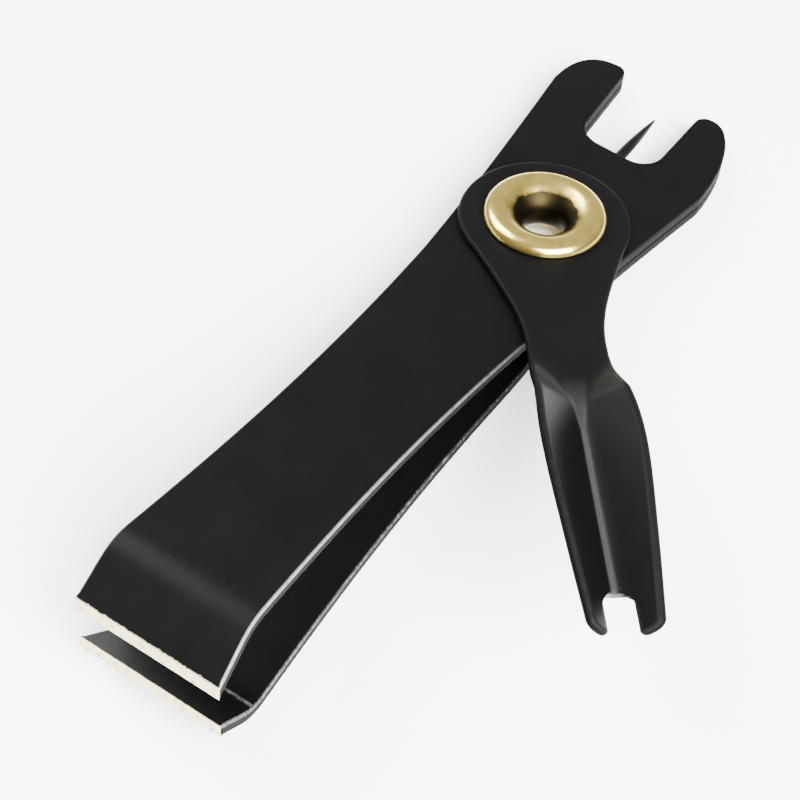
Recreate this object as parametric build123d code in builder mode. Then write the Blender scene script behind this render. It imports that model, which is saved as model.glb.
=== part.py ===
"""Angler's line nipper: two sprung arms, a brass eyelet, a needle and a swinging knot tool.

Millimetres. The origin is on the eyelet's axis, where the two arms' tails touch. +Z runs up
the eyelet, +X points to the fork at the tail, and the cutting lips are at -X.
"""

from math import atan2, cos, radians, sin, tan

from build123d import *
import os

os.makedirs("parts", exist_ok=True)

# ---- driving sizes: the nipper as a whole -------------------------------------------
overall_length = 58.0  # longer prong's tip to cutting edges
tail_length = 18.0  # eyelet axis to the longer prong's tip
jaw_reach = overall_length - tail_length  # eyelet axis to cutting edges
plate_thickness = 0.8  # spring steel strip of both arms

# ---- outline that both arms share, as half widths along X ---------------------------
jaw_half_width = 4.75
waist_half_width = 4.22
waist_reach = 27.0
long_hip_half_width = 5.6  # beside the eyelet, on the longer prong's side
short_hip_half_width = 5.75
long_shoulder_reach = 14.0  # widest place on the longer prong's side, +Y
long_shoulder_half_width = 7.4
short_shoulder_reach = 8.6  # the shorter prong's side, -Y, is rounder
short_shoulder_half_width = 6.95
short_prong_setback = 1.4  # shorter prong's tip, behind the longer one's
notch_short_side = 2.9  # half widths of the fork's notch: the shorter prong's side is straight,
notch_long_root = 2.95  # the longer prong's side opens a little towards its tip
notch_long_tip = 3.6
notch_reach = 9.2  # eyelet axis to the bottom of the fork's notch, at the shorter prong
notch_long_reach = 9.45  # and at the longer one
notch_short_corner = 1.6
notch_long_corner = 2.0
prong_tip_radius = 0.8

# ---- how each arm leaves the flat tail ----------------------------------------------
upper_root = 6.6  # eyelet axis to where the upper arm starts to flex
upper_rise_deg = 3.5
lower_root = 4.6
lower_first_deg = 17.6  # steep first stretch of the lower arm
lower_knee = 10.5
lower_fall_deg = 8.1
knee_radius = 18.0
flexure_gap = 0.05  # slit that stands for the flexing place between tail and jaw

# ---- cutting lips -------------------------------------------------------------------
lip_angle_deg = 38.0  # from the XY plane
lip_length_x = 2.95  # lip corner to cutting edge, along X
lip_bend_radius = 3.0

# ---- brass eyelet -------------------------------------------------------------------
bore_radius = 1.35
barrel_wall = 0.95
rim_radius = 4.05
rim_height = 0.78
rim_inner_radius = 2.3
funnel_depth = 1.1  # rim's inner edge down to the straight bore
set_end_radius = 3.4
set_end_height = 0.5
flare_height = 1.35  # how far up the bore the set end's flare reaches
flare_radius = 2.2
running_clearance = 0.05  # radial, barrel in the knot tool's head
axial_clearance = 0.02  # above and below the knot tool's head
seat_clearance = 0.01  # radial, barrel in the arms' holes

# ---- needle -------------------------------------------------------------------------
needle_radius = 0.38
needle_tail = 5.2  # where its blunt end sits, from the eyelet axis
needle_reach = 15.1  # its point, short of the prong tips
needle_point_radius = 0.05
needle_offset = 0.25  # towards the shorter prong

# ---- knot tool ----------------------------------------------------------------------
tool_thickness = 0.55
tool_swing_deg = 37.0  # from the arms' centre line, out towards -Y
tool_length = 34.1  # eyelet axis to tip
head_radius = 5.6
neck_half_width = 2.48
neck_reach = 11.0
fold_reach = 12.6  # where the folds of the channel start
fold_meet = 17.0  # where the two folds meet the floor strip
channel_half_width = 2.95
channel_reach = 20.5
channel_depth = 2.3
tip_half_width = 1.9
tip_depth = 1.7
floor_half_width = 0.46
crank_reach = 6.2
crank_deg = 4.0
tip_notch_width = 1.8
tip_notch_depth = 3.1
tip_outer_radius = 0.5

# ---- sizes that follow from them ----------------------------------------------------
barrel_radius = bore_radius + barrel_wall
tool_floor = plate_thickness + axial_clearance
rim_seat = tool_floor + tool_thickness + axial_clearance
reach_beyond = 3.0 * plate_thickness  # how far a blank runs past the outline that trims it
blank_width = 4.0 * long_shoulder_half_width
tool_heading = radians(180.0 + tool_swing_deg)
along = Vector(cos(tool_heading), sin(tool_heading), 0)
across = Vector(-sin(tool_heading), cos(tool_heading), 0)


# ---- the outline of both arms -------------------------------------------------------
def arm_outline():
    """A spline down each side and another round each prong's outer corner, less the notch."""
    short_reach = tail_length - short_prong_setback
    long_corner = (long_shoulder_reach + tail_length) / 2 + 0.9
    short_corner = (short_shoulder_reach + short_reach) / 2 + 0.7
    with BuildSketch() as outline:
        with BuildLine():
            long_side = Spline(
                (-jaw_reach, jaw_half_width),
                (-waist_reach, waist_half_width),
                (0, long_hip_half_width),
                (long_shoulder_reach, long_shoulder_half_width),
            )
            long_tip = Spline(
                long_side @ 1,
                (long_corner, long_shoulder_half_width - 0.85),
                (tail_length, notch_long_tip + 1.0),
                tangents=(long_side % 1, (0, -1)),
            )
            short_side = Spline(
                (-jaw_reach, -jaw_half_width),
                (-waist_reach, -waist_half_width),
                (0, -short_hip_half_width),
                (short_shoulder_reach, -short_shoulder_half_width),
            )
            short_tip = Spline(
                short_side @ 1,
                (short_corner, -short_shoulder_half_width + 1.1),
                (short_reach, -notch_short_side - 1.0),
                tangents=(short_side % 1, (0.2, 1)),
            )
            Polyline(long_tip @ 1, (tail_length, 0), (short_reach, 0), short_tip @ 1)
            Line(long_side @ 0, short_side @ 0)
        make_face()
        with BuildSketch(mode=Mode.SUBTRACT):
            with BuildLine():
                Polyline(
                    (tail_length, -notch_short_side),
                    (notch_reach, -notch_short_side),
                    (notch_long_reach, notch_long_root),
                    (tail_length, notch_long_tip),
                    close=True,
                )
            make_face()
        short_bottom = outline.vertices().sort_by_distance((notch_reach, -notch_short_side))[0]
        fillet(short_bottom, notch_short_corner)
        long_bottom = outline.vertices().sort_by_distance((notch_long_reach, notch_long_root))[0]
        fillet(long_bottom, notch_long_corner)
        inner_tips = outline.vertices().filter_by(
            lambda v: v.X > short_reach - 0.1 and abs(v.Y) < notch_long_tip + 0.1
        )
        fillet(inner_tips, prong_tip_radius)
    return outline.sketch


def trim_to_outline():
    """Keep only what lies inside the arms' outline, in the part being built."""
    with BuildSketch(Plane.XY.offset(-jaw_reach / 2)) as trim:
        add(arm_outline())
    extrude(trim.sketch, amount=jaw_reach, mode=Mode.INTERSECT)


def cut_barrel_hole():
    """The hole that the eyelet's barrel fills."""
    with BuildSketch(Plane.XY.offset(-reach_beyond)) as hole:
        Circle(barrel_radius + seat_clearance)
    extrude(hole.sketch, amount=2 * reach_beyond, mode=Mode.SUBTRACT)


def cut_needle_groove():
    """The pressed groove that holds the needle's shank between the two tails."""
    with BuildSketch(Plane.YZ.offset(needle_tail - seat_clearance)) as groove:
        with Locations((-needle_offset, 0)):
            Circle(needle_radius + seat_clearance)
    extrude(groove.sketch, amount=tail_length, mode=Mode.SUBTRACT)


def tail_blank(root, low):
    """The flat clamped stretch of an arm's strip, from its flexing place past the prong tips."""
    with BuildSketch(Plane.XY.offset(low)) as blank:
        with Locations((-root, 0)):
            Rectangle(root + tail_length + reach_beyond, blank_width, align=(Align.MIN, Align.CENTER))
    return blank.sketch


# ---- upper arm ----------------------------------------------------------------------
with BuildPart() as upper_arm_tail:
    extrude(tail_blank(upper_root, 0), amount=plate_thickness)
    trim_to_outline()
    cut_barrel_hole()
    cut_needle_groove()

upper_corner_x = -(jaw_reach - lip_length_x)
upper_corner_z = plate_thickness + (-upper_corner_x - upper_root) * tan(radians(upper_rise_deg))
lip_run = lip_length_x + reach_beyond
lip_fall = lip_run * tan(radians(lip_angle_deg))

with BuildPart() as upper_arm_jaw:
    with BuildSketch(Plane.XZ):
        with BuildLine():
            FilletPolyline(
                (-upper_root - flexure_gap, plate_thickness),
                (upper_corner_x, upper_corner_z),
                (upper_corner_x - lip_run, upper_corner_z - lip_fall),
                radius=lip_bend_radius,
            )
            offset(amount=plate_thickness, side=Side.LEFT)
        make_face()
    extrude(amount=blank_width / 2, both=True)
    trim_to_outline()

# ---- lower arm ----------------------------------------------------------------------
with BuildPart() as lower_arm_tail:
    extrude(tail_blank(lower_root, -plate_thickness), amount=plate_thickness)
    trim_to_outline()
    cut_barrel_hole()
    cut_needle_groove()

knee_z = -plate_thickness - (lower_knee - lower_root) * tan(radians(lower_first_deg))
lower_corner_x = upper_corner_x
lower_corner_z = knee_z - (-lower_corner_x - lower_knee) * tan(radians(lower_fall_deg))

with BuildPart() as lower_arm_jaw:
    with BuildSketch(Plane.XZ):
        with BuildLine():
            FilletPolyline(
                (-lower_root - flexure_gap, -plate_thickness),
                (-lower_knee, knee_z),
                (lower_corner_x, lower_corner_z),
                (lower_corner_x - lip_run, lower_corner_z + lip_fall),
                radius=(knee_radius, lip_bend_radius),
            )
            offset(amount=plate_thickness, side=Side.RIGHT)
        make_face()
    extrude(amount=blank_width / 2, both=True)
    trim_to_outline()

# ---- brass eyelet -------------------------------------------------------------------
rim_edge_z = rim_seat + 0.3 * rim_height
rim_crest_radius = (rim_inner_radius + rim_radius) / 2
set_end_z = -plate_thickness - set_end_height
set_end_roll = set_end_height / 2

with BuildPart() as eyelet:
    with BuildSketch(Plane.XZ):
        with BuildLine():
            Line((bore_radius, set_end_z + flare_height), (bore_radius, rim_edge_z - funnel_depth))
            Spline(
                (bore_radius, rim_edge_z - funnel_depth),
                (rim_inner_radius, rim_edge_z),
                tangents=((0, 1), (0.5, 1)),
            )
            ThreePointArc(
                (rim_inner_radius, rim_edge_z),
                (rim_crest_radius, rim_seat + rim_height),
                (rim_radius, rim_edge_z),
            )
            Line((rim_radius, rim_edge_z), (rim_radius - 0.3 * rim_height, rim_seat))
            Line((rim_radius - 0.3 * rim_height, rim_seat), (barrel_radius, rim_seat))
            Line((barrel_radius, rim_seat), (barrel_radius, -plate_thickness))
            Line((barrel_radius, -plate_thickness), (set_end_radius - set_end_roll, -plate_thickness))
            ThreePointArc(
                (set_end_radius - set_end_roll, -plate_thickness),
                (set_end_radius, -plate_thickness - set_end_roll),
                (set_end_radius - set_end_roll, set_end_z),
            )
            Line((set_end_radius - set_end_roll, set_end_z), (flare_radius, set_end_z))
            Spline(
                (flare_radius, set_end_z),
                (bore_radius, set_end_z + flare_height),
                tangents=((-0.8, 1), (0, 1)),
            )
        make_face()
    revolve(axis=Axis.Z)

# ---- needle -------------------------------------------------------------------------
needle_plane = Plane(origin=(0, -needle_offset, 0), x_dir=(1, 0, 0), z_dir=(0, 0, 1))

with BuildPart() as needle:
    with BuildSketch(needle_plane):
        with BuildLine():
            Line((needle_tail, 0), (needle_tail, needle_radius))
            Line((needle_tail, needle_radius), (notch_reach, needle_radius))
            Spline(
                (notch_reach, needle_radius),
                (needle_reach, needle_point_radius),
                tangents=((1, 0), (1, -0.1)),
            )
            Line((needle_reach, needle_point_radius), (needle_reach, 0))
            Line((needle_reach, 0), (needle_tail, 0))
        make_face()
    revolve(axis=Axis((0, -needle_offset, 0), (1, 0, 0)))

# ---- knot tool ----------------------------------------------------------------------
crank = tan(radians(crank_deg))
tool_plan = Plane(origin=(0, 0, -reach_beyond), x_dir=along, z_dir=(0, 0, 1))
tool_side = Plane(origin=(0, 0, 0), x_dir=along, z_dir=across * -1)


def floor_height(reach):
    """Height of the tool's underside at a distance along it, past the crank."""
    return tool_floor + max(0.0, reach - crank_reach) * crank


def channel_section(reach, floor_half, wall_half, depth):
    """Cross-section of the folded sheet: a floor strip and two walls of even thickness."""
    lean = atan2(depth, wall_half - floor_half)
    inner_floor = floor_half - tool_thickness * tan(lean / 2)
    lip = Vector(wall_half - tool_thickness * sin(lean), depth + tool_thickness * cos(lean))
    station = Plane(
        origin=along * reach + Vector(0, 0, floor_height(reach)), x_dir=across, z_dir=along
    )
    with BuildSketch(station) as section:
        with BuildLine():
            Polyline(
                (-floor_half, 0),
                (floor_half, 0),
                (wall_half, depth),
                (lip.X, lip.Y),
                (inner_floor, tool_thickness),
                (-inner_floor, tool_thickness),
                (-lip.X, lip.Y),
                (-wall_half, depth),
                close=True,
            )
        make_face()
    return section.sketch


def tool_tip_outline():
    """Plan of the channel's end: walls that run on past the floor, with rounded tips."""
    end_half_width = tip_half_width + 0.02
    with BuildSketch(tool_plan) as tip:
        with BuildLine():
            Polyline(
                (0, 0),
                (0, 2 * head_radius),
                (fold_reach, 2 * head_radius),
                (tool_length - tip_outer_radius, end_half_width),
                (tool_length, end_half_width),
                (tool_length, 0),
                close=True,
            )
        make_face()
        mirror(about=Plane.XZ)
        with Locations((tool_length - tip_notch_depth + tip_notch_width / 2, 0)):
            Circle(tip_notch_width / 2, mode=Mode.SUBTRACT)
            Rectangle(
                tool_length, tip_notch_width, align=(Align.MIN, Align.CENTER), mode=Mode.SUBTRACT
            )
        ends = tip.vertices().filter_by_position(Axis.X, tool_length - 0.01, tool_length + 0.01)
        outer = ends.filter_by(lambda v: abs(v.Y) > tip_notch_width / 2 + 0.1)
        fillet(outer, tip_outer_radius)
    return tip.sketch


tool_sections = [
    channel_section(fold_reach, neck_half_width - 0.1, neck_half_width + 0.05, 0.01),
    channel_section(fold_meet, floor_half_width, channel_half_width - 0.2, 0.85 * channel_depth),
    channel_section(channel_reach, floor_half_width, channel_half_width, channel_depth),
    channel_section(tool_length + 1, floor_half_width * 0.7, tip_half_width, tip_depth),
]

with BuildPart() as tool_channel:
    loft(tool_sections, ruled=True)
    extrude(tool_tip_outline(), amount=20, mode=Mode.INTERSECT)

with BuildPart() as knot_tool:
    with BuildSketch(tool_side):
        with BuildLine():
            Polyline(
                (-head_radius - reach_beyond, tool_floor),
                (crank_reach, tool_floor),
                (channel_reach, floor_height(channel_reach)),
            )
            offset(amount=tool_thickness, side=Side.LEFT)
        make_face()
    extrude(amount=2 * head_radius, both=True)
    with BuildSketch(tool_plan):
        Circle(head_radius)
        with BuildLine():
            neck = Spline(
                (head_radius / 2, head_radius * 0.866),
                (crank_reach, (head_radius + neck_half_width) * 0.44),
                (neck_reach, neck_half_width),
                (fold_reach, neck_half_width + 0.05),
            )
            Line(neck @ 1, (fold_reach, 0))
            Line((fold_reach, 0), (head_radius / 2, 0))
            Line((head_radius / 2, 0), neck @ 0)
        make_face()
        mirror(about=Plane.XZ)
    extrude(amount=20, mode=Mode.INTERSECT)
    add(tool_channel.part)
    with BuildSketch(Plane.XY.offset(-reach_beyond)):
        Circle(barrel_radius + running_clearance)
    extrude(amount=20, mode=Mode.SUBTRACT)

# ---- write every piece --------------------------------------------------------------
upper_arm_tail.part.label = "upper_arm_tail"
export_step(upper_arm_tail.part, "parts/upper_arm_tail.step")
upper_arm_jaw.part.label = "upper_arm_jaw"
export_step(upper_arm_jaw.part, "parts/upper_arm_jaw.step")
lower_arm_tail.part.label = "lower_arm_tail"
export_step(lower_arm_tail.part, "parts/lower_arm_tail.step")
lower_arm_jaw.part.label = "lower_arm_jaw"
export_step(lower_arm_jaw.part, "parts/lower_arm_jaw.step")
eyelet.part.label = "eyelet"
export_step(eyelet.part, "parts/eyelet.step")
needle.part.label = "needle"
export_step(needle.part, "parts/needle.step")
knot_tool.part.label = "knot_tool"
export_step(knot_tool.part, "parts/knot_tool.step")
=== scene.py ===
"""Angler's line nipper: blackened spring-steel arms, brass eyelet, needle and folded knot tool.

A lesson in cells. Everything is in metres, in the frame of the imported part: the origin is on
the eyelet's axis where the two arms touch, +Z is up the eyelet and +X points to the fork.
"""

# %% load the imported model
import math

import bmesh
import bpy
import numpy as np
from mathutils import Matrix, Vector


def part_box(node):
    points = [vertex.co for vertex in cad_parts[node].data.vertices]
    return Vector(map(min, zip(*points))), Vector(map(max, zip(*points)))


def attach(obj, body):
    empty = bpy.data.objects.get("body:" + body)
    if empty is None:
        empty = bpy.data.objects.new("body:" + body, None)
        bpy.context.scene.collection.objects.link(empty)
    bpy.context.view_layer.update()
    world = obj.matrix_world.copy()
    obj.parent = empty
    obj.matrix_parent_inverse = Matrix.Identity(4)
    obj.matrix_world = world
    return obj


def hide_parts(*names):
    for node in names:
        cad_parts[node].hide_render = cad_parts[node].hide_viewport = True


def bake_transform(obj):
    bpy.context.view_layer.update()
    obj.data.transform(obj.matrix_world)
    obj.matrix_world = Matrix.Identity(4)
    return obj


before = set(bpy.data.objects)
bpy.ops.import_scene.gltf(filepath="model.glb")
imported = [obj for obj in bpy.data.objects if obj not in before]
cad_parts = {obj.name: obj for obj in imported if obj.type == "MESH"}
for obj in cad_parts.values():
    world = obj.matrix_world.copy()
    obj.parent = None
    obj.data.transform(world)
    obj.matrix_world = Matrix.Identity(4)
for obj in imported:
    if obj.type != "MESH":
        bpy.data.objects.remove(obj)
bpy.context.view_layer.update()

# %% [markdown]
# ## Sizes
# The nipper is a handful of sheet-metal pieces, so a few sizes place everything. Those that the
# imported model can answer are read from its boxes. The rest are the maker's own numbers.

# %% sizes
MM = 0.001
jaw_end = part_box("upper_arm_jaw")[0][0]  # plane of the cutting edges
long_prong_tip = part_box("upper_arm_tail")[1][0]
short_prong_tip = long_prong_tip - 1.4 * MM
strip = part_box("upper_arm_tail")[1][2]  # thickness of both arms
tool_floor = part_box("knot_tool")[0][2]
needle_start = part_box("needle")[0][0]
needle_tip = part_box("needle")[1][0]
rim_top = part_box("eyelet")[1][2]
rim_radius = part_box("eyelet")[1][0]
set_end_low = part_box("eyelet")[0][2]

arm_round = 0.13 * MM  # how far tumbling rounds the arms' stamped edges
tool_round = 0.24 * MM  # the knot tool's thin sheet is rounded nearly to half its thickness
notch_short, notch_long = -2.9 * MM, 2.95 * MM
notch_x = 9.2 * MM
barrel_hole = 2.31 * MM
print("jaw end", round(jaw_end, 5), "prong tip", round(long_prong_tip, 5), "strip", round(strip, 5))

# %% [markdown]
# ## A curve through a few points
# Hand tools get their outlines from a flexible strip of steel laid through a few marks. The same
# thing in mathematics is a natural cubic spline: one cubic between each pair of marks, with slope
# and curvature running on smoothly. It is solved once for the curvatures at the marks.


# %% spline helper
def through(marks, x):
    """Natural cubic spline. With second derivatives m at the marks, a span of width h gives
    (m0 (x1-x)^3 + m1 (x-x0)^3) / 6h + (y0/h - m0 h/6)(x1-x) + (y1/h - m1 h/6)(x-x0)."""
    px, py = np.array(marks, float).T
    h = np.diff(px)
    n = len(px)
    a = np.eye(n)
    b = np.zeros(n)
    inner = np.arange(1, n - 1)
    a[inner, inner - 1] = h[:-1]
    a[inner, inner] = 2 * (h[:-1] + h[1:])
    a[inner, inner + 1] = h[1:]
    b[inner] = 6 * (np.diff(py)[1:] / h[1:] - np.diff(py)[:-1] / h[:-1])
    m = np.linalg.solve(a, b)
    k = np.clip(np.searchsorted(px, x) - 1, 0, n - 2)
    left, right, w = x - px[k], px[k + 1] - x, h[k]
    cubic = (m[k] * right**3 + m[k + 1] * left**3) / (6 * w)
    return cubic + (py[k] / w - m[k] * w / 6) * right + (py[k + 1] / w - m[k + 1] * w / 6) * left


def arc(centre, radius, start_deg, end_deg, count=12):
    """Points on a circle's arc: centre + radius (cos a, sin a)."""
    a = np.radians(np.linspace(start_deg, end_deg, count))
    return np.array(centre) + radius * np.column_stack((np.cos(a), np.sin(a)))


# %% [markdown]
# ## Sheet metal as a surface
# A stamped piece is a flat outline with the same thickness everywhere, rounded a little along its
# edge, then bent. Booleans would leave hard edges and long thin triangles. Here the surface is a
# grid of two parameters instead: one runs round the outline, the other runs from the edge in to
# a core line down the middle of the piece and round its hole. Every point of the outline has a
# partner on the core line, and the rings between them are shares of the way. The first few rings
# follow the rounded edge. Each point also keeps two numbers for the finishes: how far round the
# edge it lies, from 0 on the flat face to 1 on the stamped side, and its level in the thickness.


# %% sheet builder
def walk(points, count):
    """count points spread evenly by length along a line of points, without its last point."""
    points = np.atleast_2d(np.asarray(points, float))
    run = np.concatenate(([0], np.cumsum(np.linalg.norm(np.diff(points, axis=0), axis=1))))
    at = np.linspace(0, run[-1], count + 1)[:-1]
    return np.column_stack([np.interp(at, run, column) for column in points.T])


def inset(loop, distance):
    """Move each point to its left by distance, mitred: d (n1 + n2) / (1 + n1.n2)."""
    ahead = np.roll(loop, -1, axis=0) - loop
    ahead /= np.linalg.norm(ahead, axis=1)[:, None]
    n2 = np.column_stack((-ahead[:, 1], ahead[:, 0]))
    n1 = np.roll(n2, 1, axis=0)
    return loop + np.asarray(distance)[..., None] * (n1 + n2) / (1 + (n1 * n2).sum(1))[:, None]


def sheet(name, segments, hole, skin, half, edge_round, wide, rounding=None, crease=None, rings=12):
    """A bent sheet over the grid (outline point, ring). segments pair stretches of the outline
    with stretches of the core. skin(points, side) gives the 3-D place of plan points at side
    -1..1 of the thickness. Edge rings sit at insets r (1 - cos a), at half - r + r sin a from
    the middle surface, for a from 0 to 90 degrees. The other rings are shares of the way from
    there to the core."""
    rim = np.vstack([walk(outer, count) for outer, _, count in segments])
    core = np.vstack([walk(inner, count) for _, inner, count in segments])
    n = len(rim)
    soft = np.ones(n) if rounding is None else rounding(rim)
    turn = np.radians(np.linspace(0, 90, 6))
    drop = edge_round * (1 - np.cos(turn))
    thick = 1 - edge_round / half * (1 - np.sin(turn))
    first = inset(rim, np.full(n, wide))
    bend = np.full(n, 0.5) if crease is None else crease(first, core)
    # Shares of the way: straight runs between five places, with three of them close to the bend.
    before, past = np.maximum(bend - 0.03, 0.02), np.minimum(bend + 0.03, 0.98)
    places = np.stack((0 * bend, before, bend, past, 1 + 0 * bend))
    at = np.linspace(0, 1, rings)
    weight = np.stack([np.interp(at, (0, 0.44, 0.5, 0.56, 1), unit) for unit in np.eye(5)], axis=1)
    share = weight @ places
    plan = [inset(rim, d * soft) for d in drop] + [first + s[:, None] * (core - first) for s in share]
    side = [1 - (1 - t) * soft for t in thick] + [np.ones(n)] * rings
    layers = len(plan)
    flat = np.vstack(plan)
    level = np.concatenate(side)
    points = np.vstack((skin(flat, level), skin(flat, -level)))

    step = np.arange(n)
    here, after = step, (step + 1) % n
    row = np.arange(layers - 1)[:, None] * n
    top = np.stack((row + here, row + after, row + n + after, row + n + here), -1).reshape(-1, 4)
    bottom = top[:, ::-1] + layers * n
    wall = np.column_stack((here + layers * n, after + layers * n, after, here))
    last = (layers - 1) * n
    on_hole = np.abs(np.linalg.norm(core, axis=1) - hole) < 0.01 * hole
    open_side = on_hole & on_hole[after] & (np.linalg.norm(core[after] - core, axis=1) > 1e-9)
    inner = np.column_stack((last + here, last + after, last + after + layers * n,
                             last + here + layers * n))[open_side]
    edge = np.concatenate((np.repeat(1 - turn / turn[-1], n), np.zeros(rings * n)))
    faces = np.vstack((top, bottom, wall, inner))
    values = {"rim": np.tile(edge, 2), "level": np.concatenate((level, -level))}
    return make_mesh(name, points, faces, values)


def make_mesh(name, points, faces, values):
    """Put worked-out points and faces into a mesh object at the origin, close the places where
    grid points meet, and shade it smoothly."""
    mesh = bpy.data.meshes.new(name)
    mesh.from_pydata(points.tolist(), [], faces.tolist())
    for title, numbers in values.items():
        layer = mesh.attributes.new(title, "FLOAT", "POINT")
        layer.data.foreach_set("value", numbers.astype(np.float32))
    work = bmesh.new()
    work.from_mesh(mesh)
    bmesh.ops.remove_doubles(work, verts=work.verts, dist=0.0001 * MM)
    open_edges = sum(not e.is_manifold for e in work.edges)
    work.to_mesh(mesh)
    work.free()
    mesh.polygons.foreach_set("use_smooth", np.ones(len(mesh.polygons), bool))
    mesh.update()
    piece = bpy.data.objects.new(name, mesh)
    bpy.context.scene.collection.objects.link(piece)
    print(name, len(mesh.vertices), "points", len(mesh.polygons), "faces", open_edges, "open edges")
    return piece


# %% [markdown]
# ## The arms' outline
# Both arms are stamped with one die: straight cutting end, a waist for the fingers, hips round
# the eyelet and two prongs that guard the needle. One prong is longer and squarer than the other.
# The sides are splines and the notch has round corners. The prongs' outer corners are quarter
# superellipses, because one number then sets how square each is: nearly round on the short prong
# and squarer on the long one.


# %% arm outline
def quarter(start, end, fullness, count=16):
    """Quarter superellipse from start to end: x grows as sin^(2/n), y falls as cos^(2/n)."""
    a = np.radians(np.linspace(0, 90, count))
    power = 2 / fullness
    x = start[0] + (end[0] - start[0]) * np.sin(a) ** power
    y = end[1] + (start[1] - end[1]) * np.cos(a) ** power
    return np.column_stack((x, y))


def arm_segments():
    """Stretches of both arms' outline, anticlockwise from above, with their partners on the core.
    The core runs up the middle of the jaw, round the eyelet's hole and up each prong and back."""
    tip, short_corner, long_corner = 0.8 * MM, 1.6 * MM, 2.0 * MM
    long_tip_y, long_notch_x = 3.6 * MM, 9.45 * MM
    jaw_half, waist_half, waist_x = 4.75 * MM, 4.22 * MM, -27 * MM
    long_shoulder = (14.0 * MM, 7.4 * MM)
    short_shoulder = (8.6 * MM, -6.95 * MM)
    long_marks = ((jaw_end, jaw_half), (waist_x, waist_half), (0, 5.6 * MM), long_shoulder)
    short_marks = ((jaw_end, -jaw_half), (waist_x, -waist_half), (0, -5.75 * MM), short_shoulder)
    fan = jaw_end + 4.2 * MM
    hip, prong_root = -5.5 * MM, 5.5 * MM

    def long_side(start, end):
        x = np.linspace(start, end, 60)
        return np.column_stack((x, through(long_marks, x)))

    def short_side(start, end):
        x = np.linspace(start, end, 60)
        return np.column_stack((x, through(short_marks, x)))

    def ring(start_deg, end_deg):
        return arc((0, 0), barrel_hole, start_deg, end_deg, 40)

    middle = np.array(((fan, 0), (-barrel_hole, 0)))
    short_core = np.array((
        ring(318, 319)[0],
        (7.2 * MM, -4.6 * MM),
        (short_prong_tip - 1.6 * MM, -4.7 * MM),
    ))
    long_core = np.array((
        ring(42, 43)[0],
        (7.2 * MM, 4.6 * MM),
        (long_prong_tip - 1.7 * MM, 4.8 * MM),
    ))
    short_outer = quarter(short_shoulder, (short_prong_tip, notch_short - 1.0 * MM), 1.95)
    long_outer = quarter(long_shoulder, (long_prong_tip, long_tip_y + 1.0 * MM), 2.5)
    short_flank = np.vstack((short_side(prong_root, short_shoulder[0]), short_outer[1:-5]))
    long_flank = np.vstack((long_side(prong_root, long_shoulder[0]), long_outer[1:-5]))
    short_tip_arc = arc((short_prong_tip - tip, notch_short - tip), tip, 0, 90)
    long_tip_arc = arc((long_prong_tip - tip, long_tip_y + tip), tip, 0, -88)
    short_end = np.vstack((short_outer[-5:], short_tip_arc))
    long_end = np.vstack((long_outer[-5:], long_tip_arc))
    # The long prong leans outwards, so the corner at its root turns a little less than 90 degrees.
    lean_x, lean_y = -0.06 * MM, 0.15 * MM
    long_root = (long_notch_x + lean_x + long_corner, notch_long + lean_y - long_corner)
    notch = np.vstack((
        arc((notch_x + short_corner, notch_short + short_corner), short_corner, 270, 180),
        arc(long_root, long_corner, 178, 94),
    ))
    return (
        (short_side(jaw_end, hip), middle, 110),
        (short_side(hip, prong_root), ring(180, 318), 36),
        (short_flank, short_core, 40),
        (short_end, short_core[-1:], 14),
        (np.array((short_end[-1], notch[0])), short_core[::-1], 40),
        (notch, ring(318, 402), 30),
        (np.array((notch[-1], long_end[-1])), long_core, 40),
        (long_end[::-1], long_core[-1:], 14),
        (long_flank[::-1], long_core[::-1], 40),
        (long_side(prong_root, hip), ring(402, 540), 36),
        (long_side(hip, jaw_end), middle[::-1], 110),
        (np.array(((jaw_end, jaw_half), (jaw_end, -jaw_half))), middle[:1], 36),
    )


# %% [markdown]
# ## Bending the arms
# Each arm leaves the flat tail at a shallow angle and ends in a lip bent back towards its twin.
# The bend is a side view: a line through the middle of the thickness, made of straight runs with
# arcs between them. The two skins lie half a thickness to either side of it.


# %% side views
def rounded_line(corners, radii):
    """Straight runs joined by arcs: each corner is cut back by r tan(turn / 2) on both sides."""
    corners = np.array(corners, float)
    points = [corners[:1]]
    for before, here, after, radius in zip(corners[:-2], corners[1:-1], corners[2:], radii):
        u = (here - before) / np.linalg.norm(here - before)
        v = (after - here) / np.linalg.norm(after - here)
        turn = math.atan2(u[0] * v[1] - u[1] * v[0], u @ v)
        start = here - u * radius * math.tan(abs(turn) / 2)
        a = np.linspace(0, turn, 17)[:, None]
        side = math.copysign(1, turn) * np.array((-u[1], u[0]))
        points.append(start + radius * (side * (1 - np.cos(a)) + u * np.abs(np.sin(a))))
    points.append(corners[-1:])
    return np.vstack(points)


def arm_skin(middle):
    """Skins of a bent strip: the middle line moved half a thickness along its normal, then read
    as height over X, so that a side cut stays upright and the cutting end stays ground flat."""
    line = middle[np.argsort(middle[:, 0])]
    dense_x = np.linspace(line[0, 0], line[-1, 0], 4000)
    dense_z = np.interp(dense_x, line[:, 0], line[:, 1])
    slope = np.gradient(dense_z, dense_x)
    soft = np.convolve(np.pad(slope, 12, mode="edge"), np.ones(25) / 25, mode="valid")
    length = np.sqrt(1 + soft**2)
    skins = []
    for side in (-1, 1):
        x = dense_x - side * strip / 2 * soft / length
        z = dense_z + side * strip / 2 / length
        order = np.argsort(x)
        skins.append((x[order], z[order]))

    def place(points, side):
        low = np.interp(points[:, 0], *skins[0])
        high = np.interp(points[:, 0], *skins[1])
        height = (low + high) / 2 + np.asarray(side) * (high - low) / 2
        return np.column_stack((points, height))

    return place


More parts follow.
